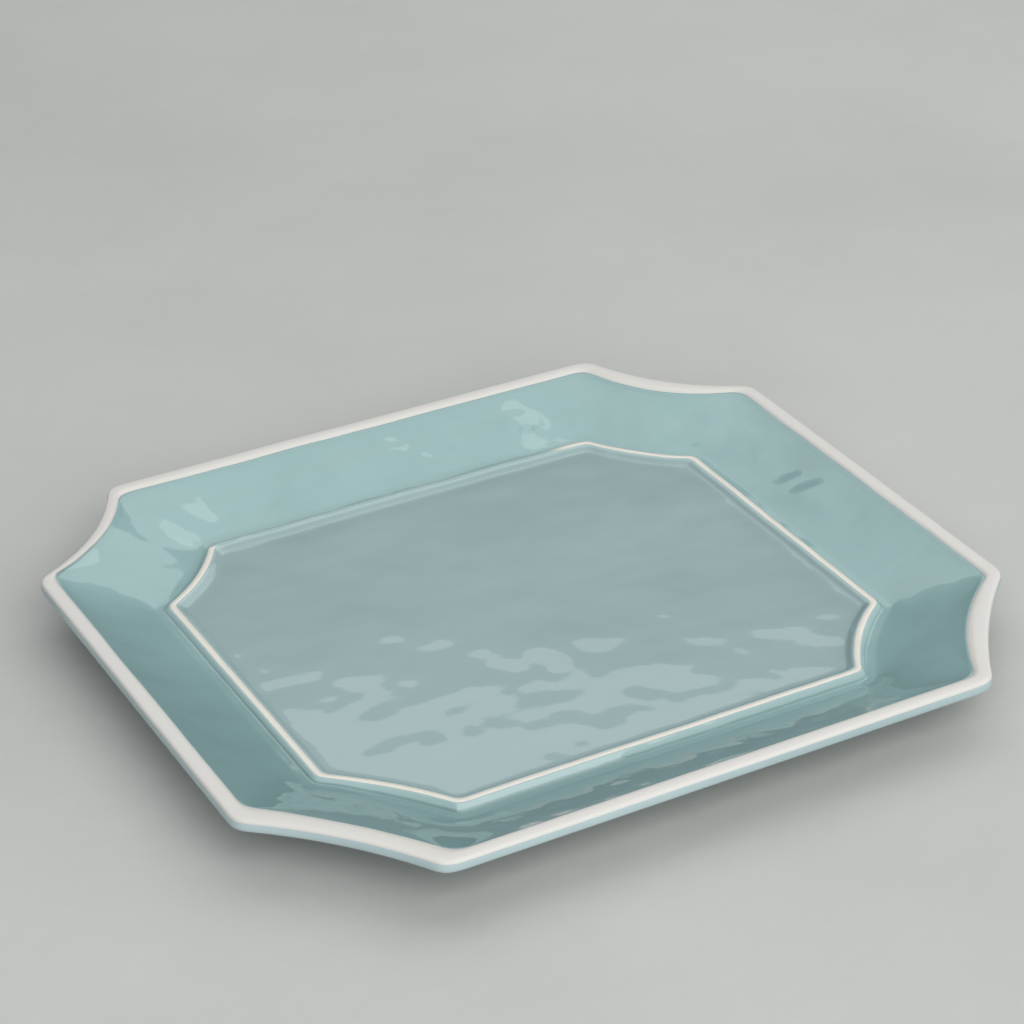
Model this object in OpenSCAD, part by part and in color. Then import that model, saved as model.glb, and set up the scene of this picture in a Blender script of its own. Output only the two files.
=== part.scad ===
// Rectangular serving platter with concave cut corners: a shallow well inside a raised
// ridge, a wide sloping flange and a thick lip with a bare pale band on top.
// The platter is a fired clay body on a foot ring, with a separate coat on each region.
// Origin at the middle of the footprint on the table, +X along the length, +Z up.

/* [Outline] */
// Overall length from lip edge to lip edge
platter_length = 420; // [380:2:460]
// Overall width from lip edge to lip edge
platter_width = 377; // [360:1:400]
// Length that each corner cut takes off the long side
cut_along = 64; // [56:1:72]
// Length that each corner cut takes off the end
cut_across = 73; // [64:1:80]
// How far the arc of a corner cut bows in towards the middle
cut_bow = 9; // [4:0.5:10]
// Length of side that the rounding of each cusp uses
cusp_round = 6; // [3:0.5:9]

/* [Ridge around the well] */
// Plan distance from the lip edge to the ridge's crest at the two ends
flange_at_ends = 57.5; // [52:0.5:62]
// Plan distance from the lip edge to the ridge's crest along the two sides
flange_at_sides = 58; // [52:0.5:62]
// Length that each corner cut of the ridge takes off the long side
ridge_cut_along = 44; // [38:1:50]
// Length that each corner cut of the ridge takes off the end
ridge_cut_across = 46; // [40:1:52]
// How far the arc of a ridge cut bows in
ridge_bow = 4; // [2:0.5:5]
// Width of the flat crest that carries the pale line
ridge_crest_w = 3; // [2:0.5:4]
// Width of the ridge's slope on the well side
ridge_inner_w = 5; // [4:0.5:7]
// Width of the ridge's slope on the flange side
ridge_outer_w = 3.5; // [2:0.5:4]
// Height of the crest above the well's floor
ridge_rise = 2.8; // [2:0.2:4]
// How far below the well's floor the flange starts
flange_step = 1.2; // [0:0.2:1.6]

/* [Lip] */
// Height of the lip's crest above the well's floor
lip_rise = 18.5; // [15:0.5:22]
// Height of the lip's outer face
lip_thick = 6.4; // [4.5:0.1:7]
// Width of the pale band on top of the lip
band_w = 8.5; // [8:0.5:12]
// Extra width of the band in the middle of each corner cut
band_extra = 5; // [0:0.5:5]

/* [Floor and foot] */
// Thickness of the floor with its glaze
floor_thick = 6; // [5:0.5:8]
// Height of the foot ring
foot_height = 6; // [5.5:0.5:9]
// Width of the foot ring
foot_w = 7; // [5:0.5:10]
// Plan distance from the ridge's crest in to the foot ring
foot_inset = 12; // [8:1:20]
// Vertical thickness of the flange, from glaze to glaze
flange_thick = 5.6; // [5:0.1:7]

/* [Coats] */
// Thickness of the glaze
glaze = 0.6; // [0.4:0.1:0.8]
// Thickness of the pale band's slip
slip = 0.8; // [0.6:0.1:1]

/* [Hidden] */

// Segments along the arc of a cut, and around a cusp
arc_steps = 8;
cusp_steps = 4;
// A cut's legs shrink by this much for each unit that its outline moves in
cut_slant = norm([cut_along, cut_across]);
along_shrink = (cut_along + cut_across - cut_slant) / cut_across;
across_shrink = (cut_along + cut_across - cut_slant) / cut_along;
// Least length of side for a cusp's rounding
least_round = 2;

// An outline is [half length, half width, cut along, cut across, bow, cusp rounding]
lip = [platter_length / 2, platter_width / 2, cut_along, cut_across, cut_bow, cusp_round];
ridge = [lip[0] - flange_at_ends, lip[1] - flange_at_sides, ridge_cut_along, ridge_cut_across,
         ridge_bow, least_round];

// The same outline moved in by d, or out where d is negative
function inset(o, d) = [o[0] - d, o[1] - d, o[2] - along_shrink * d, o[3] - across_shrink * d,
                        o[4], max(least_round, o[5] - d / 2)];
// The outline part of the way from one outline to another
function between(from, to, part) = from + (to - from) * part;
// The outline with a deeper or shallower bow
function bowed(o, extra) = [o[0], o[1], o[2], o[3], o[4] + extra, o[5]];

// Heights of the finished surfaces
well_z = foot_height + floor_thick;
ridge_z = well_z + ridge_rise;
lip_z = well_z + lip_rise;

// Ridge: the clay crest is flat, and the glazes stop at its two edges
ridge_clay_z = ridge_z - slip;
crest_in = inset(ridge, ridge_crest_w / 2);
crest_out = inset(ridge, -ridge_crest_w / 2);
well_edge = inset(crest_in, ridge_inner_w);
ridge_foot = inset(crest_out, -ridge_outer_w);
ridge_foot_z = well_z - flange_step;
valley_w = 4;
valley = inset(ridge_foot, -valley_w);
valley_z = ridge_foot_z + 0.4;

// Lip: the crest lies inside the middle of the band, which falls away to both sides
band_in = bowed(inset(lip, band_w), band_extra);
band_in_z = lip_z - 1.5;
lip_crest = bowed(inset(lip, band_w * 0.72), band_extra / 3);
band_fall = 0.7;
shoulder = inset(lip, 1.4);
shoulder_z = lip_z - band_fall;
edge = inset(lip, 0.3);
edge_z = shoulder_z - 1.2;
girth_z = edge_z - 1;
heel = inset(lip, 0.4);
heel_z = lip_z - lip_thick + 0.9;
under_lip = inset(lip, 3);
under_lip_z = lip_z - lip_thick;

// Flange: a ruled slope with a slight hollow
flange_hollow = 1;
flange_steps = 4;
function flange_at(part) = between(valley, band_in, part);
function flange_z(part) = valley_z + (band_in_z - valley_z) * part
                          - 4 * flange_hollow * part * (1 - part);
flange_parts = [for (i = [1 : flange_steps - 1]) i / flange_steps];

// Foot ring outlines and the clay's flat underside
foot_out = inset(ridge, foot_inset);
foot_in = inset(foot_out, foot_w);
clay_flat = inset(ridge_foot, 1);

// A point on the arc of the cut in the first quarter, from the end (u = 0) to the side (u = 1)
function cut_point(o, u) =
    [o[0] - o[2] * u, o[1] - o[3] * (1 - u)] - 4 * o[4] * u * (1 - u) / sqrt(2) * [1, 1];
// A point on the curve that rounds a cusp
function curve_point(p, q, r, t) = (1 - t) * (1 - t) * p + 2 * t * (1 - t) * q + t * t * r;
// The first quarter of an outline: cusp, arc, cusp
function quarter(o) =
    let (along = o[5] / norm([o[2], o[3]]),
         end_side = [o[0], o[1] - o[3] - o[5]],
         end_cusp = [o[0], o[1] - o[3]],
         side_cusp = [o[0] - o[2], o[1]],
         long_side = [o[0] - o[2] - o[5], o[1]])
    concat(
        [for (i = [0 : cusp_steps])
            curve_point(end_side, end_cusp, cut_point(o, along), i / cusp_steps)],
        [for (i = [1 : arc_steps - 1])
            cut_point(o, along + (1 - 2 * along) * i / arc_steps)],
        [for (i = [0 : cusp_steps])
            curve_point(cut_point(o, 1 - along), side_cusp, long_side, i / cusp_steps)]);
function backwards(list) = [for (i = [len(list) - 1 : -1 : 0]) list[i]];
function flipped(list, sx, sy) = [for (p = list) [p[0] * sx, p[1] * sy]];
// The whole outline, anticlockwise from the +X end
function outline(o) =
    let (q = quarter(o))
    concat(q, backwards(flipped(q, -1, 1)), flipped(q, -1, -1), backwards(flipped(q, 1, -1)));

ring_points = len(outline(lip));

// Skin over a stack of rings, each [outline, height].
// A closed stack joins its last ring to its first; an open one is capped from the middle.
module skin(rings, closed) {
    n = ring_points;
    m = len(rings);
    walls = closed ? m : m - 1;
    first_hub = n * m;
    last_hub = first_hub + 1;
    points = concat(
        [for (r = rings) for (p = outline(r[0])) [p[0], p[1], r[1]]],
        closed ? [] : [[0, 0, rings[0][1]], [0, 0, rings[m - 1][1]]]);
    sides = [for (j = [0 : walls - 1]) for (i = [0 : n - 1])
        let (k = (i + 1) % n, up = (j + 1) % m)
        each [[j * n + i, up * n + k, j * n + k], [j * n + i, up * n + i, up * n + k]]];
    caps = closed ? [] : [for (i = [0 : n - 1])
        let (k = (i + 1) % n)
        each [[first_hub, i, k], [last_hub, (m - 1) * n + k, (m - 1) * n + i]]];
    polyhedron(points, concat(sides, caps));
}

// Upper face of the clay from the ridge to the lip's edge, and its underside
clay_flange = concat(
    [[crest_out, ridge_clay_z], [ridge_foot, ridge_foot_z - glaze], [valley, valley_z - glaze]],
    [for (t = flange_parts) [flange_at(t), flange_z(t) - glaze]],
    [[band_in, band_in_z - glaze]]);
clay_lip = [
    [band_in, band_in_z - glaze],
    [lip_crest, lip_z - slip],
    [inset(shoulder, slip / 2), shoulder_z - slip],
    [inset(edge, glaze), edge_z - slip / 4]];
clay_back = concat(
    [[inset(edge, glaze), edge_z - slip / 4],
     [inset(lip, glaze), girth_z],
     [inset(heel, glaze), heel_z + glaze / 2],
     [inset(under_lip, glaze / 2), under_lip_z + glaze]],
    [for (t = backwards(flange_parts)) [flange_at(t), flange_z(t) - flange_thick + glaze]],
    [[clay_flat, foot_height]]);

// Finished faces over them
glaze_flange = concat(
    [[crest_out, ridge_clay_z + glaze], [ridge_foot, ridge_foot_z], [valley, valley_z]],
    [for (t = flange_parts) [flange_at(t), flange_z(t)]],
    [[band_in, band_in_z]]);
band_top = [
    [band_in, band_in_z],
    [lip_crest, lip_z],
    [shoulder, shoulder_z],
    [edge, edge_z]];
glaze_back = concat(
    [[edge, edge_z],
     [lip, girth_z],
     [heel, heel_z],
     [under_lip, under_lip_z]],
    [for (t = backwards(flange_parts)) [flange_at(t), flange_z(t) - flange_thick]],
    [[clay_flat, foot_height - glaze]]);

// Biscuit-fired clay: floor, ridge, flange and lip in one thrown-down slab
module clay_body() {
    color([0.86, 0.83, 0.77])
    skin(concat(
        [[well_edge, well_z - glaze], [crest_in, ridge_clay_z]],
        clay_flange,
        [clay_lip[1], clay_lip[2]],
        clay_back), false);
}

// Foot ring under the floor, left bare where it stands
module foot_ring() {
    color([0.80, 0.76, 0.69])
    linear_extrude(foot_height)
    difference() {
        polygon(outline(foot_out));
        polygon(outline(foot_in));
    }
}

// Blue-green glaze pooled in the well, up to the crest of the ridge
module well_glaze() {
    color([0.60, 0.70, 0.71])
    skin([
        [well_edge, well_z],
        [crest_in, ridge_clay_z + glaze],
        [crest_in, ridge_clay_z],
        [well_edge, well_z - glaze]], false);
}

// Blue-green glaze on the flange, from the crest of the ridge to the pale band
module flange_glaze() {
    color([0.53, 0.65, 0.65])
    skin(concat(glaze_flange, backwards(clay_flange)), true);
}

// Pale line along the crest of the ridge
module ridge_bead() {
    color([0.84, 0.83, 0.79])
    skin([
        [crest_in, ridge_clay_z],
        [crest_in, ridge_clay_z + glaze],
        [ridge, ridge_z],
        [crest_out, ridge_clay_z + glaze],
        [crest_out, ridge_clay_z]], true);
}

// Pale band on top of the lip
module lip_band() {
    color([0.89, 0.88, 0.85])
    skin(concat(band_top, backwards(clay_lip)), true);
}

// Glaze on the lip's outer face and the underside, as far as the foot ring
module back_glaze() {
    color([0.72, 0.80, 0.81])
    skin(concat(
        glaze_back,
        [[foot_out, foot_height - glaze], [foot_out, foot_height]],
        backwards(clay_back)), true);
}

// Glaze on the underside within the foot ring
module foot_inner_glaze() {
    color([0.72, 0.80, 0.81])
    translate([0, 0, foot_height - glaze])
    linear_extrude(glaze)
    polygon(outline(foot_in));
}

clay_body();
foot_ring();
well_glaze();
flange_glaze();
ridge_bead();
lip_band();
back_glaze();
foot_inner_glaze();
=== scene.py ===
import math

import bpy
from mathutils import Matrix, Vector


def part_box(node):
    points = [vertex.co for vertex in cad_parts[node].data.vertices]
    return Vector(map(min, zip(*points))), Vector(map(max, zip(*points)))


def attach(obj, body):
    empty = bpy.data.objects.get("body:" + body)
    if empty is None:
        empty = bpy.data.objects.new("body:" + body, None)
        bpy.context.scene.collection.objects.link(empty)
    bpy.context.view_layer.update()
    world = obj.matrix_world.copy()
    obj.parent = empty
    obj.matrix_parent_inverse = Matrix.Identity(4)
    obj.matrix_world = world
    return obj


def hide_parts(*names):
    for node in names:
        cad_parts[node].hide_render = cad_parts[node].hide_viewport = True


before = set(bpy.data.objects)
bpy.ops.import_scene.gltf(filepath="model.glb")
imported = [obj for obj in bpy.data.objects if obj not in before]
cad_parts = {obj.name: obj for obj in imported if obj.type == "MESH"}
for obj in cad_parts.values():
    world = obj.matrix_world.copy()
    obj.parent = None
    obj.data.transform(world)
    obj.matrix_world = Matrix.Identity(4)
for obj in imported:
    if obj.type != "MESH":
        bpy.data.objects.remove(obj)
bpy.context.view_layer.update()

MM = 0.001

# ---------------------------------------------------------------- sizes, in metres

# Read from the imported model
back_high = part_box("back_glaze")[1]
bead_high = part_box("ridge_bead")[1]
foot_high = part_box("foot_ring")[1]
inner_low, inner_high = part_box("foot_inner_glaze")
LIP_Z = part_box("lip_band")[1].z
RIDGE_Z = bead_high.z
FOOT_Z = foot_high.z

# Thickness of the coats
GLAZE = inner_high.z - inner_low.z
SLIP = 0.8 * MM
WELL_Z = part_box("well_glaze")[0].z + GLAZE

# Outline of the lip's edge and of the ridge's crest: half length and half width, how long the
# cut is along the sides and along the ends, how far it bows in, and how round its cusps are
CREST_W = 3 * MM
LIP_HALF = (back_high.x, back_high.y)
RIDGE_HALF = (bead_high.x - CREST_W / 2, bead_high.y - CREST_W / 2)
LIP_CUT = (64 * MM, 73 * MM)
LIP_BOW = 9.5 * MM
LIP_ROUND = 0.09
RIDGE_CUT = (44 * MM, 46 * MM)
RIDGE_BOW = 4 * MM
RIDGE_ROUND = 0.07

# How much a cut shortens for each unit that the outline moves in, so that all sides move alike
CUT_SLANT = math.hypot(*LIP_CUT)
SHRINK_ALONG = (sum(LIP_CUT) - CUT_SLANT) / LIP_CUT[1]
SHRINK_ACROSS = (sum(LIP_CUT) - CUT_SLANT) / LIP_CUT[0]

# Cross section: widths and distances from the ridge's crest or the lip's edge, then heights
FLANGE_W = (LIP_HALF[0] - RIDGE_HALF[0] + LIP_HALF[1] - RIDGE_HALF[1]) / 2
WELL_EDGE = 6.5 * MM
RIDGE_FOOT = 4.3 * MM
VALLEY = 9 * MM
BAND_W = 8.5 * MM
LIP_THICK = 6.4 * MM
FLANGE_THICK = 5.6 * MM
FLANGE_HOLLOW = 1 * MM
RIDGE_FOOT_Z = WELL_Z - 1.2 * MM
VALLEY_Z = RIDGE_FOOT_Z + 0.4 * MM
BAND_IN_Z = LIP_Z - 1.5 * MM
CREST_EDGE_Z = RIDGE_Z - 0.2 * MM
INNER_Z = FOOT_Z - GLAZE
FOOT_OUT = RIDGE_HALF[0] - foot_high.x
FOOT_IN = RIDGE_HALF[0] - inner_high.x

# No two corners of a hand-made platter match. Extra lengths of the cuts for the corners
# (+X +Y), (-X +Y), (-X -Y) and (+X -Y), in mm
LIP_ALONG_TRIM = (1.0, 2.0, 2.0, 0.0)
LIP_ACROSS_TRIM = (-2.0, -3.5, 1.8, 4.5)
RIDGE_ALONG_TRIM = (-3.5, -2.3, 1.5, -2.0)
RIDGE_ACROSS_TRIM = (-2.0, -2.5, 3.2, 0.7)
# Extra bow of the lip's cuts and of the ridge's cuts, in mm
LIP_BOW_TRIM = (0.0, 0.0, -4.5, -5.0)
RIDGE_BOW_TRIM = (0.0, 0.0, -1.5, 0.0)
# How much further in the band is wiped there, beside the cusps and in the cut's middle, in mm
BAND_ALONG_TRIM = (2.0, -1.0, 5.0, 0.0)
BAND_ACROSS_TRIM = (-1.0, -4.5, 6.5, -1.0)
BAND_BOW_TRIM = (2.0, -1.0, -1.5, 2.5)

# Points around the outline: each quarter is half an end, a cut and half a side. The clay has
# fewer, because the coats hide it
STRETCHES = 4 * 3
AROUND = STRETCHES * 60
CLAY_AROUND = STRETCHES * 36

# Points closer than this are one
WELD = 0.001 * MM

# Where the ripple grows: this far out towards the far side, which a slant turns towards +X
FAR_SIDE = (40 * MM, 130 * MM)
FAR_SLANT = 0.6
# Ripple that a spot needs before it grows there
CALM = 0.9
# The part of the ridge's half length where the -X end of the flange starts to rise
RAISED_FROM = 0.78
# How far the band's edge drops for each unit that it wavers in
WAVER_FALL = 0.4

# Noise patterns of the handwork: cells to the metre, detail and roughness
BROAD_RIPPLE = (1.6, 0.4)
SWELL_PART = 0.45
EDGE_NOISE = (9.0, 1.0)
DROOP_NOISE = (6.0, 0.0)
# Noise patterns of the band's wiped edge, where a cell is a unit of the circle around the platter
WIPE_NOISE = (5.0, 2.0)
SWING_NOISE = (1.1, 0.0)


def link(thing):
    """Puts an object in the scene."""
    bpy.context.scene.collection.objects.link(thing)


# ---------------------------------------------------------------- node trees


class Wire:
    """A number or vector in a node tree. Operators on numbers add Math nodes."""

    def __init__(self, tree, socket):
        self.tree = tree
        self.socket = socket

    def maths(self, operation, *others):
        """A Math node of that operation, with this number first."""
        made = self.tree.add(
            "ShaderNodeMath", {"operation": operation}, dict(enumerate((self,) + others)))
        return made.out()

    def __add__(self, other):
        return self.maths("ADD", other)

    def __radd__(self, other):
        return self.maths("ADD", other)

    def __sub__(self, other):
        return self.maths("SUBTRACT", other)

    def __rsub__(self, other):
        return self.tree.number(other).maths("SUBTRACT", self)

    def __mul__(self, other):
        return self.maths("MULTIPLY", other)

    def __rmul__(self, other):
        return self.maths("MULTIPLY", other)

    def __truediv__(self, other):
        return self.maths("DIVIDE", other)

    def __lt__(self, other):
        return self.maths("LESS_THAN", other)

    def __gt__(self, other):
        return self.maths("GREATER_THAN", other)

    def held(self):
        """Clamped to the range from 0 to 1."""
        return self.maths("MAXIMUM", 0.0).maths("MINIMUM", 1.0)

    def ramp(self, low, high):
        """0 at low, 1 at high, smooth between them."""
        made = self.tree.add(
            "ShaderNodeMapRange",
            {"interpolation_type": "SMOOTHSTEP"},
            {"Value": self, "From Min": low, "From Max": high, "To Min": 0.0, "To Max": 1.0},
        )
        return made.out()


class Made:
    """A node that a tree has added."""

    def __init__(self, tree, node):
        self.tree = tree
        self.node = node

    def out(self, name=0):
        return Wire(self.tree, self.node.outputs[name])


class Tree:
    """Adds nodes to a node tree."""

    def __init__(self, tree):
        self.tree = tree

    def add(self, kind, settings=None, values=None):
        """A node of that kind: its settings are set first, then its sockets' values or links."""
        node = self.tree.nodes.new(kind)
        for name, setting in (settings or {}).items():
            setattr(node, name, setting)
        for name, value in (values or {}).items():
            socket = node.inputs[name]
            if isinstance(value, Wire):
                self.tree.links.new(value.socket, socket)
            else:
                socket.default_value = value
        return Made(self, node)

    def number(self, value):
        """A wire that holds the value."""
        node = self.tree.nodes.new("ShaderNodeValue")
        node.outputs[0].default_value = value
        return Wire(self, node.outputs[0])

    def split(self, vector):
        made = self.add("ShaderNodeSeparateXYZ", None, {0: vector})
        return made.out("X"), made.out("Y"), made.out("Z")

    def join(self, x, y, z):
        return self.add("ShaderNodeCombineXYZ", None, {0: x, 1: y, 2: z}).out()

    def noise(self, vector, scale, detail=2.0, roughness=0.5):
        """A noise value from 0 to 1, with about scale cells to the metre."""
        made = self.add(
            "ShaderNodeTexNoise",
            {"noise_dimensions": "3D", "noise_type": "FBM"},
            {"Vector": vector, "Scale": scale, "Detail": detail, "Roughness": roughness},
        )
        return made.out()

    def blend(self, part, a, b):
        """The colour that is part of the way from a to b."""
        made = self.add(
            "ShaderNodeMix",
            {"data_type": "RGBA", "blend_type": "MIX"},
            {"Factor": part},
        )
        colours = [s for s in made.node.inputs if s.type == "RGBA"]
        for socket, value in zip(colours, (a, b)):
            if isinstance(value, Wire):
                self.tree.links.new(value.socket, socket)
            else:
                socket.default_value = value
        result = [s for s in made.node.outputs if s.type == "RGBA"][0]
        return Wire(self, result)


# ---------------------------------------------------------------- the platter's shape rule


def platter_rule():
    """Node tree that turns a cross section into the skin that follows the platter's outline.

    A section is a line of points (across, inset, height): across is 0 at the ridge's crest and
    1 at the lip's edge, and inset is the distance in from there.
    """
    group = bpy.data.node_groups.new("platter skin", "GeometryNodeTree")
    group.is_modifier = True
    face = group.interface

    def inlet(name, kind, default=None):
        socket = face.new_socket(name=name, in_out="INPUT", socket_type=kind)
        if default is not None:
            socket.default_value = default

    inlet("Section", "NodeSocketGeometry")
    sizes = {
        "Lip Half Length": LIP_HALF[0],
        "Lip Half Width": LIP_HALF[1],
        "Lip Cut Along": LIP_CUT[0],
        "Lip Cut Across": LIP_CUT[1],
        "Lip Bow": LIP_BOW,
        "Lip Rounding": LIP_ROUND,
        "Ridge Half Length": RIDGE_HALF[0],
        "Ridge Half Width": RIDGE_HALF[1],
        "Ridge Cut Along": RIDGE_CUT[0],
        "Ridge Cut Across": RIDGE_CUT[1],
        "Ridge Bow": RIDGE_BOW,
        "Ridge Rounding": RIDGE_ROUND,
        "Corner Difference": MM,
        "Crease Softness": 0.42,
        "Band Waver": 0.7 * MM,
        "Ripple Height": 0.9 * MM,
        "Ripple Cells": 33.0,
        "Far Ripple": 3.2,
        "Edge Waver": 0.4 * MM,
        "Lip Droop": 0.7 * MM,
        "End Raise": 1.7 * MM,
    }
    for name, default in sizes.items():
        inlet(name, "NodeSocketFloat", default)
    inlet("Points Around", "NodeSocketInt", AROUND)
    inlet("Seed", "NodeSocketFloat", 3.0)
    inlet("Material", "NodeSocketMaterial")
    face.new_socket(name="Skin", in_out="OUTPUT", socket_type="NodeSocketGeometry")

    tree = Tree(group)
    given = tree.add("NodeGroupInput")
    size = {name: given.out(name) for name in list(sizes) + ["Points Around", "Seed"]}
    section = given.out("Section")

    # A grid with one column for each point around and one row for each point of the section
    count = tree.add(
        "GeometryNodeAttributeDomainSize", {"component": "MESH"}, {"Geometry": section})
    rows = count.out("Point Count")
    columns = size["Points Around"] + 1
    grid = tree.add(
        "GeometryNodeMeshGrid", None,
        {"Size X": 1.0, "Size Y": 1.0, "Vertices X": columns, "Vertices Y": rows})
    place = tree.add("GeometryNodeInputPosition").out()
    grid_x, grid_y, _ = tree.split(place)
    row = ((grid_y + 0.5) * (rows - 1)).maths("ROUND")
    turn = (grid_x + 0.5) * 4

    def from_section(value, kind):
        """A value of the section's point that this row follows."""
        picked = tree.add(
            "GeometryNodeSampleIndex", {"data_type": kind, "domain": "POINT"},
            {"Geometry": section, "Value": value, "Index": row})
        return picked.out()

    def section_field(name):
        field = tree.add(
            "GeometryNodeInputNamedAttribute", {"data_type": "FLOAT"}, {"Name": name})
        return from_section(field.out(), "FLOAT")

    across, inset, height = tree.split(from_section(place, "FLOAT_VECTOR"))
    shrink = section_field("shrink")
    extra = section_field("extra")
    waver = section_field("waver")
    ripple = section_field("ripple")
    level = section_field("level")

    # Which quarter, and where in it: -1 to 0 on the end, 0 to 1 on the cut, 1 to 2 on the side
    quarter_part = turn.maths("PINGPONG", 1.0)
    side_x = 1 - 2 * ((turn > 1.0) * (turn < 3.0))
    side_y = 1 - 2 * (turn > 2.0)
    along = quarter_part * 3 - 1

    def mixed(name):
        """A size of the outline, changing from the ridge's crest to the lip's edge."""
        return size["Ridge " + name] + (size["Lip " + name] - size["Ridge " + name]) * across

    corners = [(1 + sx * side_x) * (1 + sy * side_y) * 0.25
               for sx, sy in ((1, 1), (-1, 1), (-1, -1), (1, -1))]

    def by_corner(trims):
        """The trim of whichever corner this is."""
        first, *others = [corner * trim for corner, trim in zip(corners, trims)]
        return sum(others, first) * size["Corner Difference"]

    def trimmed(name, ridge_trim, lip_trim, band_trim):
        """A mixed size with this corner's trims."""
        at_ridge = by_corner(ridge_trim)
        return (mixed(name) + at_ridge + (by_corner(lip_trim) - at_ridge) * across
                + by_corner(band_trim) * extra)

    # Cusps and creases are rounded by smooth clamps
    soft = mixed("Rounding") + across * (1 - across) * 4 * size["Crease Softness"]
    on_cut = along.maths("SMOOTH_MIN", 1.0, soft).maths("SMOOTH_MAX", 0.0, soft)
    up_end = (along + 1).maths("SMOOTH_MIN", 1.0, soft)
    down_side = (2 - along).maths("SMOOTH_MIN", 1.0, soft)

    # The wavering of the band's wiped edge, from noise on a circle so that it joins up
    angle = turn * (math.pi / 2)
    loop = tree.join(angle.maths("COSINE"), angle.maths("SINE"), size["Seed"])
    wiped = (tree.noise(loop, *WIPE_NOISE) - 0.5) * 2 + (tree.noise(loop, *SWING_NOISE) - 0.5)
    moved_in = inset + waver * wiped * size["Band Waver"]
    bow = trimmed("Bow", RIDGE_BOW_TRIM, LIP_BOW_TRIM, BAND_BOW_TRIM)

    half_length = mixed("Half Length") - moved_in
    half_width = mixed("Half Width") - moved_in
    cut_along = (trimmed("Cut Along", RIDGE_ALONG_TRIM, LIP_ALONG_TRIM, BAND_ALONG_TRIM)
                 - moved_in * SHRINK_ALONG)
    cut_across = (trimmed("Cut Across", RIDGE_ACROSS_TRIM, LIP_ACROSS_TRIM, BAND_ACROSS_TRIM)
                  - moved_in * SHRINK_ACROSS)
    dip = bow * on_cut * (1 - on_cut) * (4 / math.sqrt(2))
    x = ((half_length - cut_along) * down_side + cut_along * (1 - on_cut) - dip) * shrink * side_x
    y = ((half_width - cut_across) * up_end + cut_across * on_cut - dip) * shrink * side_y

    # Handwork: the edge wanders in a little, the lip droops a little, and the surface ripples,
    # most of all on the far flange. One end of the flange is higher at the ridge's foot
    flat_place = tree.join(x, y, size["Seed"])
    lift = ((height - WELL_Z) / (LIP_Z - WELL_Z)).held()
    shy = tree.noise(flat_place, *EDGE_NOISE) * lift * size["Edge Waver"]
    x_in = x * (1 - shy / size["Lip Half Length"])
    y_in = y * (1 - shy / size["Lip Half Length"])
    droop = tree.noise(flat_place, *DROOP_NOISE) * lift * size["Lip Droop"]
    broad = tree.noise(flat_place, size["Ripple Cells"], *BROAD_RIPPLE) - 0.5
    swell = tree.noise(flat_place, size["Ripple Cells"] * SWELL_PART, 0.0) - 0.5
    far_side = (x * FAR_SLANT + y).ramp(*FAR_SIDE)
    far_gain = 1 + far_side * (ripple - CALM).held() * size["Far Ripple"]
    wave = (broad + swell) * size["Ripple Height"] * ripple * far_gain
    fall = waver * wiped * size["Band Waver"] * WAVER_FALL
    raised = level * size["End Raise"] * (0 - x).ramp(RIDGE_HALF[0] * RAISED_FROM, RIDGE_HALF[0])
    z = height - droop + wave - fall + raised

    # The flat grid still says where each point belongs, so the finishes' fields are kept first
    share = row / (rows - 1)
    kept = grid.out("Mesh")
    for name, value in (("section", share), ("around", turn)):
        kept = tree.add(
            "GeometryNodeStoreNamedAttribute", {"data_type": "FLOAT", "domain": "POINT"},
            {"Geometry": kept, "Name": name, "Value": value}).out()
    shaped = tree.add(
        "GeometryNodeSetPosition", None,
        {"Geometry": kept, "Position": tree.join(x_in, y_in, z)})
    welded = tree.add(
        "GeometryNodeMergeByDistance", None, {"Geometry": shaped.out(), "Distance": WELD})
    smooth = tree.add("GeometryNodeSetShadeSmooth", None, {"Geometry": welded.out()})
    real = tree.add("GeometryNodeRealizeInstances", None, {"Geometry": smooth.out()})
    painted = tree.add(
        "GeometryNodeSetMaterial", None,
        {"Geometry": real.out(), "Material": given.out("Material")})
    tree.add("NodeGroupOutput", None, {"Skin": painted.out()})
    return group


def set_inputs(modifier, **values):
    """Sets a modifier's inputs by their sockets' identifiers."""
    names = {item.name: item.identifier
             for item in modifier.node_group.interface.items_tree
             if item.item_type == "SOCKET" and item.in_out == "INPUT"}
    for name, value in values.items():
        modifier[names[name.replace("_", " ")]] = value


# ---------------------------------------------------------------- cross sections


class Spot:
    """One point of a cross section.

    shrink is 0 where the outline closes in the middle. extra is how much of the band's corner
    trims it takes, waver how much of the band's waver, ripple how much of the ripple, and level
    how much of the raised end.
    """

    def __init__(self, across, inset, height,
                 shrink=1.0, extra=0.0, waver=0.0, ripple=1.0, level=0.0):
        self.across = across
        self.inset = inset
        self.height = height
        self.shrink = shrink
        self.extra = extra
        self.waver = waver
        self.ripple = ripple
        self.level = level

    def fields(self):
        """All values, in the order that Spot() takes them."""
        return (self.across, self.inset, self.height,
                self.shrink, self.extra, self.waver, self.ripple, self.level)

    def out_from_ridge(self):
        """Plan distance out from the ridge's crest, where positive is towards the lip."""
        reach = self.across * FLANGE_W - self.inset
        return reach if self.shrink == 1.0 else reach - (1 - self.shrink) * RIDGE_HALF[1]


def straight(t):
    return t


def s_curve(t):
    return t * t * (3 - 2 * t)


def drop_curve(t):
    """Rounds over at the top and ends in a corner."""
    rounded = 0.35
    return rounded * s_curve(t) + (1 - rounded) * t ** 1.4


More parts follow.
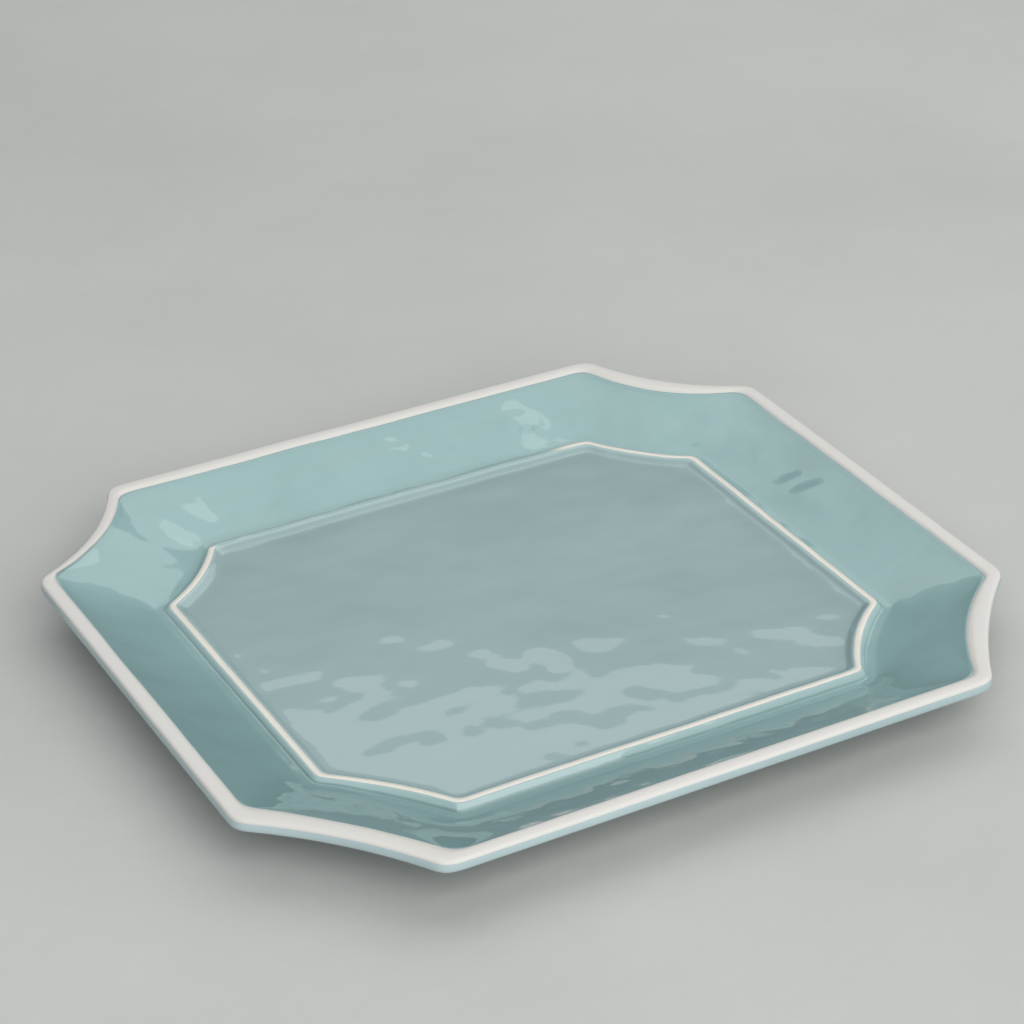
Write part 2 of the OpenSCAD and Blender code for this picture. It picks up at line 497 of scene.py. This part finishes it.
def run(first, last, steps, rise=straight, hollow=0.0):
    """Spots from first to last, without last. Height follows rise, less a hollow in the middle."""
    spots = []
    for step in range(steps):
        t = step / steps
        mixed = [a + (b - a) * t for a, b in zip(first.fields(), last.fields())]
        mixed[2] = first.height + (last.height - first.height) * rise(t) - 4 * hollow * t * (1 - t)
        spots.append(Spot(*mixed))
    return spots


def bent(spots, steps):
    """A smooth curve through the spots, which are control points."""
    curve = []
    for index in range(len(spots) - 1):
        around = [spots[max(0, min(len(spots) - 1, index + k))].fields() for k in (-1, 0, 1, 2)]
        for step in range(steps):
            t = step / steps
            values = []
            for p, q, r, s in zip(*around):
                values.append(0.5 * (2 * q + (r - p) * t + (2 * p - 5 * q + 4 * r - s) * t * t
                                     + (3 * q - p - 3 * r + s) * t ** 3))
            curve.append(Spot(*values))
    return curve + [spots[-1]]


def beneath(spots, depth):
    """The section moved into the clay by a coat's thickness."""
    moved = []
    for index, spot in enumerate(spots):
        before = spots[max(0, index - 1)]
        after = spots[min(len(spots) - 1, index + 1)]
        run_out = after.out_from_ridge() - before.out_from_ridge()
        rise = after.height - before.height
        length = math.hypot(run_out, rise) or 1.0
        fields = list(spot.fields())
        if spot.shrink == 1.0:
            fields[1] = spot.inset - rise / length * depth
        fields[2] = spot.height - run_out / length * depth
        moved.append(Spot(*fields))
    return moved


# Ripple of the flange: at its edges, and how much more in its middle
SLOPE_RIPPLE = (0.8, 1.1)
# Where, of the way out under the flange, the lip's thicker clay begins
UNDER_LIP = 0.86

# Finished surfaces, listed from the middle outwards over the top and back in below
well_floor = run(Spot(0, WELL_EDGE, WELL_Z, shrink=0.0), Spot(0, WELL_EDGE, WELL_Z), steps=44)
crest_in = Spot(0, CREST_W / 2, CREST_EDGE_Z)
well_rise = run(Spot(0, WELL_EDGE, WELL_Z), crest_in, steps=12, rise=s_curve)
crest_out = Spot(0, -CREST_W / 2, CREST_EDGE_Z)
crest = bent([crest_in, Spot(0, 0, RIDGE_Z), crest_out], steps=5)
ridge_foot = Spot(0, -RIDGE_FOOT, RIDGE_FOOT_Z, level=1.0)
valley = Spot(0, -VALLEY, VALLEY_Z, level=0.9)
band_in = Spot(1, BAND_W, BAND_IN_Z, extra=1.0, waver=1.0, ripple=0.6)
ridge_back = run(crest_out, ridge_foot, steps=8, rise=drop_curve) + run(ridge_foot, valley, steps=4)
slope = run(valley, band_in, steps=40, hollow=FLANGE_HOLLOW) + [band_in]
for index, spot in enumerate(slope):
    spot.ripple = SLOPE_RIPPLE[0] + SLOPE_RIPPLE[1] * math.sin(math.pi * index / (len(slope) - 1))
lip_top = bent([
    band_in,
    Spot(1, 7.8 * MM, LIP_Z - 0.8 * MM, extra=0.8, waver=0.8, ripple=0.4),
    Spot(1, 6.9 * MM, LIP_Z - 0.3 * MM, extra=0.55, waver=0.5, ripple=0.3),
    Spot(1, 5.6 * MM, LIP_Z - 0.05 * MM, extra=0.3, waver=0.2, ripple=0.3),
    Spot(1, 3.6 * MM, LIP_Z, ripple=0.3),
    Spot(1, 1.8 * MM, LIP_Z - 0.15 * MM, ripple=0.3),
    Spot(1, 0.8 * MM, LIP_Z - 0.6 * MM, ripple=0.3),
    Spot(1, 0.3 * MM, LIP_Z - 1.5 * MM, ripple=0.3)], steps=5)
lip_edge = lip_top[-1]


def flange_height(part):
    """Height of the flange's top that part of the way from the valley to the band."""
    return VALLEY_Z + (BAND_IN_Z - VALLEY_Z) * part - 4 * FLANGE_HOLLOW * part * (1 - part)


def under_flange(part):
    """Spot on the flange's underside that part of the way out."""
    inset = -VALLEY + (BAND_W + VALLEY) * part
    return Spot(part, inset, flange_height(part) - FLANGE_THICK, ripple=0.0)


back_top = bent([
    lip_edge,
    Spot(1, 0.05 * MM, LIP_Z - 2.8 * MM, ripple=0.2),
    Spot(1, 0.05 * MM, LIP_Z - 4.8 * MM, ripple=0.1),
    Spot(1, 0.7 * MM, LIP_Z - 6.0 * MM, ripple=0.0),
    Spot(1, 2.8 * MM, LIP_Z - LIP_THICK - 0.25 * MM, ripple=0.0),
    under_flange(UNDER_LIP)], steps=6)
back_flat = Spot(0, -3 * MM, INNER_Z, ripple=0.0)
foot_outside = Spot(0, FOOT_OUT, INNER_Z, ripple=0.0)
back_slope = bent(
    [under_flange(part) for part in (UNDER_LIP, 0.6, 0.35, 0.14)] + [back_flat], steps=6)
back = back_top[:-1] + back_slope[:-1] + run(back_flat, foot_outside, steps=5) + [foot_outside]


def coat(spots, depth):
    """Closed section of a coat: its face from the lip inwards, then its underside back out."""
    face = list(reversed(spots))
    under = beneath(spots, depth)
    return face + under + [face[0]]


def pool(spots, depth):
    """Open section of a coat that covers the middle, from its underside's middle to its top's."""
    return beneath(spots, depth) + list(reversed(spots))


def make_piece(name, spots, material, node, around=AROUND):
    """Builds one piece of the platter from its section and puts it in place of its CAD node."""
    line = bpy.data.meshes.new(name + " section")
    line.from_pydata(
        [(s.across, s.inset, s.height) for s in spots],
        [(k, k + 1) for k in range(len(spots) - 1)], [])
    for field in ("shrink", "extra", "waver", "ripple", "level"):
        layer = line.attributes.new(field, "FLOAT", "POINT")
        layer.data.foreach_set("value", [getattr(s, field) for s in spots])
    rough = bpy.data.objects.new(name + " section", line)
    link(rough)
    modifier = rough.modifiers.new("skin", "NODES")
    modifier.node_group = RULE
    set_inputs(modifier, Material=material, Points_Around=around)
    evaluated = rough.evaluated_get(bpy.context.evaluated_depsgraph_get())
    mesh = bpy.data.meshes.new_from_object(evaluated)
    rough.modifiers.remove(modifier)
    bpy.data.objects.remove(rough)
    bpy.data.meshes.remove(line)
    mesh.name = name
    piece = bpy.data.objects.new(name, mesh)
    link(piece)
    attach(piece, "root")
    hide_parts(node)


# ---------------------------------------------------------------- finishes

# Colours of the coats and of the clay
WELL_BLUE = (0.300, 0.400, 0.402, 1)
WELL_DEEP = (0.268, 0.368, 0.370, 1)
FLANGE_BLUE = (0.272, 0.410, 0.405, 1)
# Darker flange glaze, also used as painted shade along the far side of the ridge's crest
FLANGE_DEEP_AND_SHADE = (0.245, 0.378, 0.373, 1)
# Painted shade of the flange's near and left sides
FLANGE_PAINTED_SHADE = (0.190, 0.300, 0.298, 1)
GLAZE_THIN = (0.35, 0.475, 0.475, 1)
CREAM = (0.70, 0.665, 0.59, 1)
SLIP_WHITE = (0.63, 0.615, 0.58, 1)
SLIP_THIN = (0.62, 0.63, 0.60, 1)
IRON_TAN = (0.60, 0.47, 0.33, 1)
BACK_BLUE = (0.42, 0.525, 0.54, 1)
BACK_DEEP = (0.36, 0.465, 0.48, 1)
BISCUIT = (0.62, 0.55, 0.45, 1)
BISCUIT_DARK = (0.50, 0.42, 0.32, 1)
IRON_SPECK = (0.16, 0.10, 0.06, 1)
FLOOR_PALE = (0.50, 0.505, 0.485, 1)
FLOOR_GREY = (0.45, 0.455, 0.435, 1)

GLASSY = 1.5
SLIP_IOR = 1.48

# Noise patterns: cells to the metre, detail and roughness
GLAZE_CLOUDS = (9.0, 2.0, 0.55)
GLAZE_BRUSHING = (22.0, 3.0, 0.6)
GLAZE_EDGE = (70.0, 2.0)
GLAZE_SPECKS = (900.0, 1.0)
GLAZE_POLISH = (40.0, 3.0)
GLAZE_SKIN = (260.0, 2.0, 0.4)
SLIP_STREAKS = (60.0, 4.0, 0.6)
SLIP_WANDER = (25.0, 2.0)
SLIP_PATCHES = (18.0, 1.0)
SLIP_RIM = (30.0, 1.0)
SLIP_GRAIN = (420.0, 3.0, 0.6)
LINE_WANDER = (55.0, 2.0)
LINE_MOTTLE = (160.0, 3.0)
LINE_POLISH = (120.0, 2.0)
LINE_SKIN = (300.0, 2.0)
BACK_CLOUDS = (14.0, 3.0, 0.55)
BACK_SPECKS = (520.0, 2.0)
BACK_POLISH = (35.0, 3.0)
BACK_SKIN = (200.0, 2.0)
CLAY_CLOUDS = (24.0, 4.0, 0.6)
CLAY_SPECKS = (650.0, 1.0)
CLAY_GRAIN = (700.0, 4.0, 0.7)
FLOOR_CLOUDS = (2.2, 5.0, 0.6)
FLOOR_GRAIN = (60.0, 4.0)

# Places along a coat's section, from 0 to 1 around it
WELL_CREST = (0.505, 0.55)
WELL_POOL_START = (0.57, 0.60)
WELL_POOL_END = (0.60, 0.66)
RIDGE_FACE = (0.425, 0.445)
BAND_EDGE = (0.0, 0.04)
LIP_RIM = (0.0, 0.028)
TAN_START = (0.325, 0.345)
TAN_END = (0.345, 0.375)
LINE_MIDDLE = 0.25
LINE_EDGE = (0.18, 0.24)


def surface(name):
    """A new material, its tree, and the place on the piece."""
    material = bpy.data.materials.new(name)
    material.use_nodes = True
    material.node_tree.nodes.clear()
    tree = Tree(material.node_tree)
    return material, tree, tree.add("ShaderNodeTexCoord").out("Object")


def stored(tree, field):
    """A field that the shape rule stored: "section" along the section, or "around" the outline."""
    return tree.add("ShaderNodeAttribute", {"attribute_name": field}).out("Fac")


def finish_material(tree, values):
    shader = tree.add("ShaderNodeBsdfPrincipled", None, values)
    tree.add("ShaderNodeOutputMaterial", None, {"Surface": shader.out()})


def bump(tree, height, distance):
    """Normal of a fine relief of that height."""
    return tree.add("ShaderNodeBump", None,
                    {"Strength": 1.0, "Distance": distance, "Height": height}).out()


def stretched(tree, place, x, y, z):
    return tree.add("ShaderNodeMapping", None, {"Vector": place, "Scale": (x, y, z)}).out()


def well_crest(at):
    return 1 - at.ramp(*WELL_CREST)


def well_pool(at):
    return at.ramp(*WELL_POOL_START) * (0.6 - at.ramp(*WELL_POOL_END) * 0.6)


def ridge_face(at):
    return at.ramp(*RIDGE_FACE)


def band_pool(at):
    return (1 - at.ramp(*BAND_EDGE)) * 0.8


def glaze_coat(name, pale, deep, painted_shade_colour, thin, pooled):
    """Glossy glaze: soft clouds, faint brushing, pale where it is thin and deep where it pools.

    thin and pooled are functions of the wavering place along the section. Towards the (-X -Y)
    corner the colour is blended into the last colour given: painted shade on the flange's near and
    left sides, while the well only fades to its pale blue there.
    """
    material, tree, place = surface(name)
    clouds = tree.noise(place, *GLAZE_CLOUDS)
    brushed = tree.noise(stretched(tree, place, 1.0, 6.0, 6.0), *GLAZE_BRUSHING)
    depth = clouds.ramp(0.35, 0.68) * 0.6 + brushed.ramp(0.3, 0.75) * 0.3
    ragged = stored(tree, "section") + (tree.noise(place, *GLAZE_EDGE) - 0.5) * 0.012
    colour = tree.blend((depth + pooled(ragged)).held(), pale, deep)
    x, y, _ = tree.split(place)
    # Painted shade: darker towards the (-X -Y) corner, on the flange's near and left sides
    painted_shade_side = 0 - (x * 0.55 + y * 0.83) + (clouds - 0.5) * 0.06
    colour = tree.blend(painted_shade_side.ramp(0.0, 0.14), colour, painted_shade_colour)
    colour = tree.blend(thin(ragged), colour, GLAZE_THIN)
    specks = tree.noise(place, *GLAZE_SPECKS).ramp(0.70, 0.80) * 0.18
    colour = tree.blend(specks, colour, BACK_BLUE)
    polish = 0.02 + tree.noise(place, *GLAZE_POLISH) * 0.025
    skin = tree.noise(place, *GLAZE_SKIN)
    finish_material(tree, {"Base Color": colour, "Roughness": polish, "IOR": GLASSY,
                           "Normal": bump(tree, skin, 0.006 * MM)})
    return material


def slip_coat(name):
    """Matt white slip, tan along the crest where it was wiped thin, most of all in the cuts.

    The glaze of the lip's outer face creeps over its rim.
    """
    material, tree, place = surface(name)
    section = stored(tree, "section")
    streaks = tree.noise(stretched(tree, place, 1.0, 1.0, 3.0), *SLIP_STREAKS)
    colour = tree.blend(streaks.ramp(0.45, 0.8) * 0.35, SLIP_WHITE, SLIP_THIN)
    quarter = stored(tree, "around").maths("PINGPONG", 1.0)
    in_cut = quarter.ramp(0.22, 0.36) * (1 - quarter.ramp(0.64, 0.78))
    wander = section + (tree.noise(place, *SLIP_WANDER) - 0.5) * 0.03
    line = wander.ramp(*TAN_START) * (1 - wander.ramp(*TAN_END))
    patchy = tree.noise(place, *SLIP_PATCHES).ramp(0.4, 0.65)
    tan = line * patchy * (0.22 + 0.38 * in_cut)
    colour = tree.blend(tan, colour, IRON_TAN)
    rim = section + (tree.noise(place, *SLIP_RIM) - 0.5) * 0.01
    colour = tree.blend((1 - rim.ramp(*LIP_RIM)) * 0.5, colour, BACK_BLUE)
    grain = tree.noise(place, *SLIP_GRAIN)
    finish_material(tree, {"Base Color": colour, "Roughness": 0.42 + streaks * 0.2,
                           "IOR": SLIP_IOR, "Normal": bump(tree, grain, 0.06 * MM)})
    return material


def cream_line(name):
    """Cream clay showing through on the crest, with painted shade in the flange's darker teal along
    the far side.
    """
    material, tree, place = surface(name)
    x, y, _ = tree.split(place)
    wander = tree.noise(place, *LINE_WANDER) - 0.5
    off_middle = (stored(tree, "section") - LINE_MIDDLE + wander * 0.05).maths("ABSOLUTE")
    far_crest_painted_shade = (y + wander * 0.004).ramp(0.1275, 0.1295)
    before_cusp = 1 - (x + wander * 0.02).ramp(0.085, 0.105)
    colour = tree.blend(off_middle.ramp(*LINE_EDGE), CREAM, GLAZE_THIN)
    mottle = tree.noise(place, *LINE_MOTTLE).ramp(0.5, 0.75) * 0.3
    colour = tree.blend(mottle, colour, SLIP_WHITE)
    # Painted shade: the outer edge of the crest on the far side, except towards the +X end, turned
    # to the flange's darker teal
    colour = tree.blend(far_crest_painted_shade * before_cusp * 0.9, colour, FLANGE_DEEP_AND_SHADE)
    polish = 0.14 + tree.noise(place, *LINE_POLISH) * 0.12
    skin = tree.noise(place, *LINE_SKIN)
    finish_material(tree, {"Base Color": colour, "Roughness": polish, "IOR": GLASSY,
                           "Normal": bump(tree, skin, 0.04 * MM)})
    return material


def back_coat_finish(name):
    """Thinner, paler glaze on the lip's outer face and the underside."""
    material, tree, place = surface(name)
    clouds = tree.noise(place, *BACK_CLOUDS)
    colour = tree.blend(clouds.ramp(0.35, 0.7), BACK_BLUE, BACK_DEEP)
    specks = tree.noise(place, *BACK_SPECKS).ramp(0.66, 0.76) * 0.4
    colour = tree.blend(specks, colour, BISCUIT)
    polish = 0.08 + tree.noise(place, *BACK_POLISH) * 0.1
    skin = tree.noise(place, *BACK_SKIN)
    finish_material(tree, {"Base Color": colour, "Roughness": polish, "IOR": GLASSY,
                           "Normal": bump(tree, skin, 0.06 * MM)})
    return material


def bare_clay(name):
    """Biscuit clay with iron specks and a fine open grain."""
    material, tree, place = surface(name)
    clouds = tree.noise(place, *CLAY_CLOUDS)
    colour = tree.blend(clouds.ramp(0.35, 0.7), BISCUIT, BISCUIT_DARK)
    specks = tree.noise(place, *CLAY_SPECKS).ramp(0.70, 0.77)
    colour = tree.blend(specks * 0.7, colour, IRON_SPECK)
    grain = tree.noise(place, *CLAY_GRAIN)
    finish_material(tree, {"Base Color": colour, "Roughness": 0.78 + grain * 0.18,
                           "Normal": bump(tree, grain, 0.2 * MM)})
    return material


def floor_finish(name):
    """Pale plaster, all but plain."""
    material, tree, place = surface(name)
    clouds = tree.noise(place, *FLOOR_CLOUDS)
    colour = tree.blend(clouds.ramp(0.3, 0.75), FLOOR_PALE, FLOOR_GREY)
    grain = tree.noise(place, *FLOOR_GRAIN)
    finish_material(tree, {"Base Color": colour, "Roughness": 0.75 + clouds * 0.2,
                           "Normal": bump(tree, grain, 0.4 * MM)})
    return material


well_finish = glaze_coat("well glaze", WELL_BLUE, WELL_DEEP, WELL_BLUE, well_crest, well_pool)
flange_finish = glaze_coat(
    "flange glaze", FLANGE_BLUE, FLANGE_DEEP_AND_SHADE, FLANGE_PAINTED_SHADE, ridge_face, band_pool)
cream_finish = cream_line("cream line")
band_finish = slip_coat("white slip")
back_finish = back_coat_finish("back glaze")
clay_finish = bare_clay("bare clay")

# ---------------------------------------------------------------- the platter

RULE = platter_rule()

clay_face = beneath(
    well_floor + well_rise + crest[:-1] + ridge_back + slope[:-1] + lip_top[:-1] + back, GLAZE)
clay_middle = Spot(0, FOOT_OUT, FOOT_Z, shrink=0.0, ripple=0.0)

# The foot ring's section, from its outside over its standing face to its inside
foot_ring = [Spot(0, FOOT_OUT + inset, height, ripple=0.0) for inset, height in (
    (0, FOOT_Z), (0.2 * MM, 2 * MM), (0.8 * MM, 0.6 * MM), (2.0 * MM, 0.0))]
foot_ring += [Spot(0, FOOT_IN - inset, height, ripple=0.0) for inset, height in (
    (2.0 * MM, 0.0), (0.8 * MM, 0.6 * MM), (0.2 * MM, 2 * MM), (0, FOOT_Z))]

# The coat inside it, from its underside's middle to its top's, with a rounded edge
inner_middle = Spot(0, FOOT_IN, INNER_Z, shrink=0.0, ripple=0.0)
inner_coat = run(inner_middle, Spot(0, FOOT_IN, INNER_Z, ripple=0.0), steps=24)
inner_coat += [Spot(0, FOOT_IN + inset, INNER_Z + rise, ripple=0.0) for inset, rise in (
    (0.5 * MM, 0), (0.1 * MM, 0.15 * MM), (0, 0.3 * MM), (0, GLAZE))]
inner_coat += [Spot(0, FOOT_IN, FOOT_Z, shrink=0.0, ripple=0.0)]

make_piece("well_coat", pool(well_floor + well_rise + [crest_in], GLAZE), well_finish, "well_glaze")
make_piece("ridge_line", coat(crest, SLIP), cream_finish, "ridge_bead")
make_piece("flange_coat", coat(ridge_back + slope, GLAZE), flange_finish, "flange_glaze")
make_piece("lip_slip", coat(lip_top, SLIP), band_finish, "lip_band")
make_piece("back_coat", coat(back, GLAZE), back_finish, "back_glaze")
make_piece("clay_slab", [clay_middle] + list(reversed(clay_face)), clay_finish, "clay_body",
           around=CLAY_AROUND)
make_piece("standing_foot", list(reversed(foot_ring)) + [foot_ring[-1]], clay_finish, "foot_ring")
make_piece("foot_inside_coat", inner_coat, back_finish, "foot_inner_glaze")

# ---------------------------------------------------------------- stage, light and camera

# Camera: how far it is turned and tilted, where the platter's middle lies to its right, above it
# and ahead of it, the height of that point, and the focal length over the frame's width
TURN = math.radians(28.9)
TILT = math.radians(30.12)
ROLL = math.radians(0.45)
MIDDLE_RIGHT = 0.005922
MIDDLE_UP = -0.036855
MIDDLE_AHEAD = 1.4868
MIDDLE_Z = 25.5 * MM
FOCAL = 2.93555
SENSOR = 36

# Soft lights: place, size and power
HIGH_LIGHT = ((0.405, 1.0, 1.98), (2.6, 2.24), 17)
NEAR_LIGHT = ((-0.3, -1.9, 1.35), (3.0, 2.0), 54)
SIDE_LIGHT = ((1.9, 0.35, 1.5), (1.7, 1.7), 11)

# Surroundings
NEAR_WALL = (0.38, 0.385, 0.39, 1)
FAR_WALL_LOW = (0.05, 0.06, 0.07, 1)
FAR_WALL_HIGH = (0.40, 0.42, 0.44, 1)
FLOOR_REACH = 3.0


def make_camera():
    right = Vector((math.cos(TURN), -math.sin(TURN), 0))
    forward = Vector((math.sin(TURN) * math.cos(TILT),
                      math.cos(TURN) * math.cos(TILT),
                      -math.sin(TILT)))
    up = right.cross(forward)
    place = -(MIDDLE_RIGHT * right + MIDDLE_UP * up + MIDDLE_AHEAD * forward)
    place.z += MIDDLE_Z
    side = right * math.cos(ROLL) - up * math.sin(ROLL)
    top = right * math.sin(ROLL) + up * math.cos(ROLL)
    data = bpy.data.cameras.new("camera")
    data.sensor_width = SENSOR
    data.lens = FOCAL * SENSOR
    data.clip_start = 0.01
    camera = bpy.data.objects.new("camera", data)
    turn = Matrix((side, top, -forward)).transposed()
    camera.matrix_world = Matrix.Translation(place) @ turn.to_4x4()
    link(camera)
    bpy.context.scene.camera = camera


def make_floor():
    mesh = bpy.data.meshes.new("floor")
    corners = [(x * FLOOR_REACH, y * FLOOR_REACH, 0)
               for x, y in ((-1, -1), (1, -1), (1, 1), (-1, 1))]
    mesh.from_pydata(corners, [], [(0, 1, 2, 3)])
    mesh.materials.append(floor_finish("pale floor"))
    floor = bpy.data.objects.new("floor", mesh)
    link(floor)


def soft_light(name, place, size, power):
    """A softbox that faces the platter."""
    data = bpy.data.lights.new(name, "AREA")
    data.shape = "RECTANGLE"
    data.size, data.size_y = size
    data.energy = power
    light = bpy.data.objects.new(name, data)
    light.location = place
    light.rotation_euler = (-Vector(place)).to_track_quat("-Z", "Y").to_euler()
    link(light)


def room():
    """Surroundings that are pale on the near side and, low down, dark behind the platter."""
    world = bpy.data.worlds.new("room")
    world.use_nodes = True
    world.node_tree.nodes.clear()
    tree = Tree(world.node_tree)
    _, y, z = tree.split(tree.add("ShaderNodeTexCoord").out("Generated"))
    far_wall = tree.blend(z.ramp(0.40, 0.60), FAR_WALL_LOW, FAR_WALL_HIGH)
    colour = tree.blend(y.ramp(-0.35, 0.35), NEAR_WALL, far_wall)
    sky = tree.add("ShaderNodeBackground", None, {"Color": colour, "Strength": 1.0})
    tree.add("ShaderNodeOutputWorld", None, {"Surface": sky.out()})
    return world


make_camera()
make_floor()
# The well's glaze mirrors the high softbox, the near one fills, and the side one casts shadow
soft_light("high softbox", *HIGH_LIGHT)
soft_light("near softbox", *NEAR_LIGHT)
soft_light("side softbox", *SIDE_LIGHT)
bpy.context.scene.world = room()
bpy.context.scene.view_settings.view_transform = "Standard"
